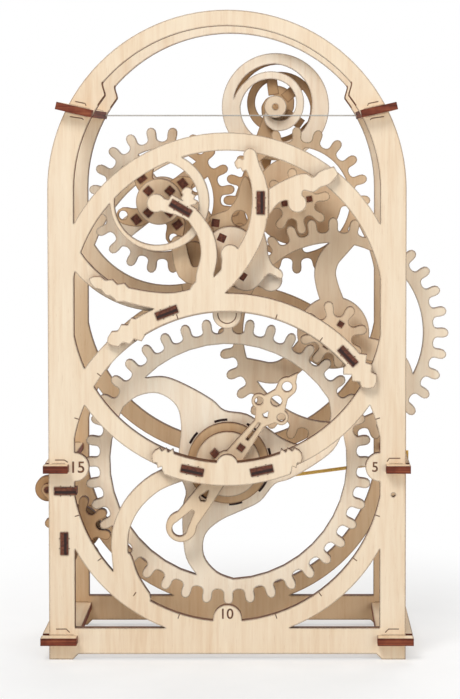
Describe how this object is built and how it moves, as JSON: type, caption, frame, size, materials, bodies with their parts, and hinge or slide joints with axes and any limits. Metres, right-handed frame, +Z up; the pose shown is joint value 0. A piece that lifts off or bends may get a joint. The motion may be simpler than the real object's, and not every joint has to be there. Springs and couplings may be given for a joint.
{
  "type": "wooden mechanical timer",
  "caption": "Laser-cut plywood countdown timer: arched plates on crossbars, an open gear train with swirl arms, a turning hand on a minute ring and a swinging spiral.",
  "frame": {"origin": "bottom centre of the bounding box, on the surface the feet stand on", "axes": "+Z up, -Y towards the viewer who reads the hand, +X to that viewer's right"},
  "size_m": [0.168, 0.078, 0.26],
  "materials": {
    "plywood": "bare laser-cut birch plywood with browned edges",
    "burnt_plywood": "laser-browned edges of birch plywood",
    "dowel": "turned wooden dowel",
    "rubber_band": "plain rubber band",
    "thread": "thin twisted thread"
  },
  "bodies": {
    "frame": {"front_plate": "plywood", "back_plate": "plywood", "crossbar_top_left": "burnt_plywood", "crossbar_top_right": "burnt_plywood", "crossbar_mid_left": "burnt_plywood", "crossbar_mid_right": "burnt_plywood", "crossbar_bottom_left": "burnt_plywood", "crossbar_bottom_right": "burnt_plywood", "tree_bridge": "plywood", "right_bracket": "plywood", "dial_bridge": "plywood", "bridge_keys": "burnt_plywood", "column_keys": "burnt_plywood", "tension_thread": "thread", "rubber_band": "rubber_band"},
    "dial": {"dial_arbor": "dowel", "dial_gear": "plywood", "hub_disc": "plywood", "cap_disc": "plywood", "hand": "plywood", "hub_pegs": "burnt_plywood", "winding_drum": "dowel", "drum_flanges": "plywood", "band_turns": "rubber_band"},
    "third": {"third_arbor": "dowel", "third_pinion": "plywood", "third_wheel": "plywood", "third_spacer": "dowel", "third_pegs": "burnt_plywood"},
    "fourth": {"fourth_arbor": "dowel", "fourth_pinion": "plywood", "fourth_wheel": "plywood", "fourth_spacer": "dowel", "fourth_pegs": "burnt_plywood"},
    "escape": {"escape_arbor": "dowel", "escape_wheel": "plywood", "escape_rotor": "plywood", "rotor_cap": "plywood", "rotor_pegs": "burnt_plywood", "rotor_posts": "burnt_plywood"},
    "brake": {"brake_arbor": "dowel", "brake_pinion": "plywood", "brake_disc": "plywood"},
    "pendulum": {"pendulum_arbor": "dowel", "anchor": "plywood", "pendulum_arm": "plywood", "spiral_front": "plywood", "spiral_rear": "plywood", "spiral_hub": "plywood", "spiral_pin": "dowel", "spiral_blocks": "burnt_plywood"},
    "lever": {"start_lever": "plywood", "lever_knob": "plywood", "knob_pin": "dowel", "lever_pin": "dowel"}
  },
  "joints": [
    {"name": "third_spin", "type": "hinge", "parent": "frame", "child": "third", "pos_m": [0.03671, -0.004, 0.12938], "axis": [0, 1, 0], "range_deg": [-1615, 185]},
    {"name": "dial_spin", "type": "hinge", "parent": "frame", "child": "dial", "pos_m": [-0.00613, -0.004, 0.0776], "axis": [0, 1, 0], "range_deg": [-38, 324]},
    {"name": "fourth_spin", "type": "hinge", "parent": "frame", "child": "fourth", "pos_m": [0.02184, -0.004, 0.18337], "axis": [0, 1, 0], "range_deg": [-745, 6465]},
    {"name": "escape_spin", "type": "hinge", "parent": "frame", "child": "escape", "pos_m": [-0.03416, -0.004, 0.18337], "axis": [0, 1, 0], "range_deg": [-6465, 745]},
    {"name": "brake_spin", "type": "hinge", "parent": "frame", "child": "brake", "pos_m": [-0.06742, -0.004, 0.05005], "axis": [0, 1, 0], "range_deg": [-1620, 190]},
    {"name": "pendulum_swing", "type": "hinge", "parent": "frame", "child": "pendulum", "pos_m": [-0.00483, -0.004, 0.1632], "axis": [0, 1, 0], "range_deg": [-33, 0]},
    {"name": "lever_turn", "type": "hinge", "parent": "frame", "child": "lever", "pos_m": [-0.07183, -0.004, 0.0576], "axis": [0, 1, 0], "range_deg": [0, 12]}
  ],
  "couplings": [
    {"joint": "dial_spin", "follows": "third_spin", "ratio": -0.2},
    {"joint": "fourth_spin", "follows": "third_spin", "ratio": -4},
    {"joint": "escape_spin", "follows": "third_spin", "ratio": 4},
    {"joint": "brake_spin", "follows": "third_spin", "ratio": 1}
  ]
}
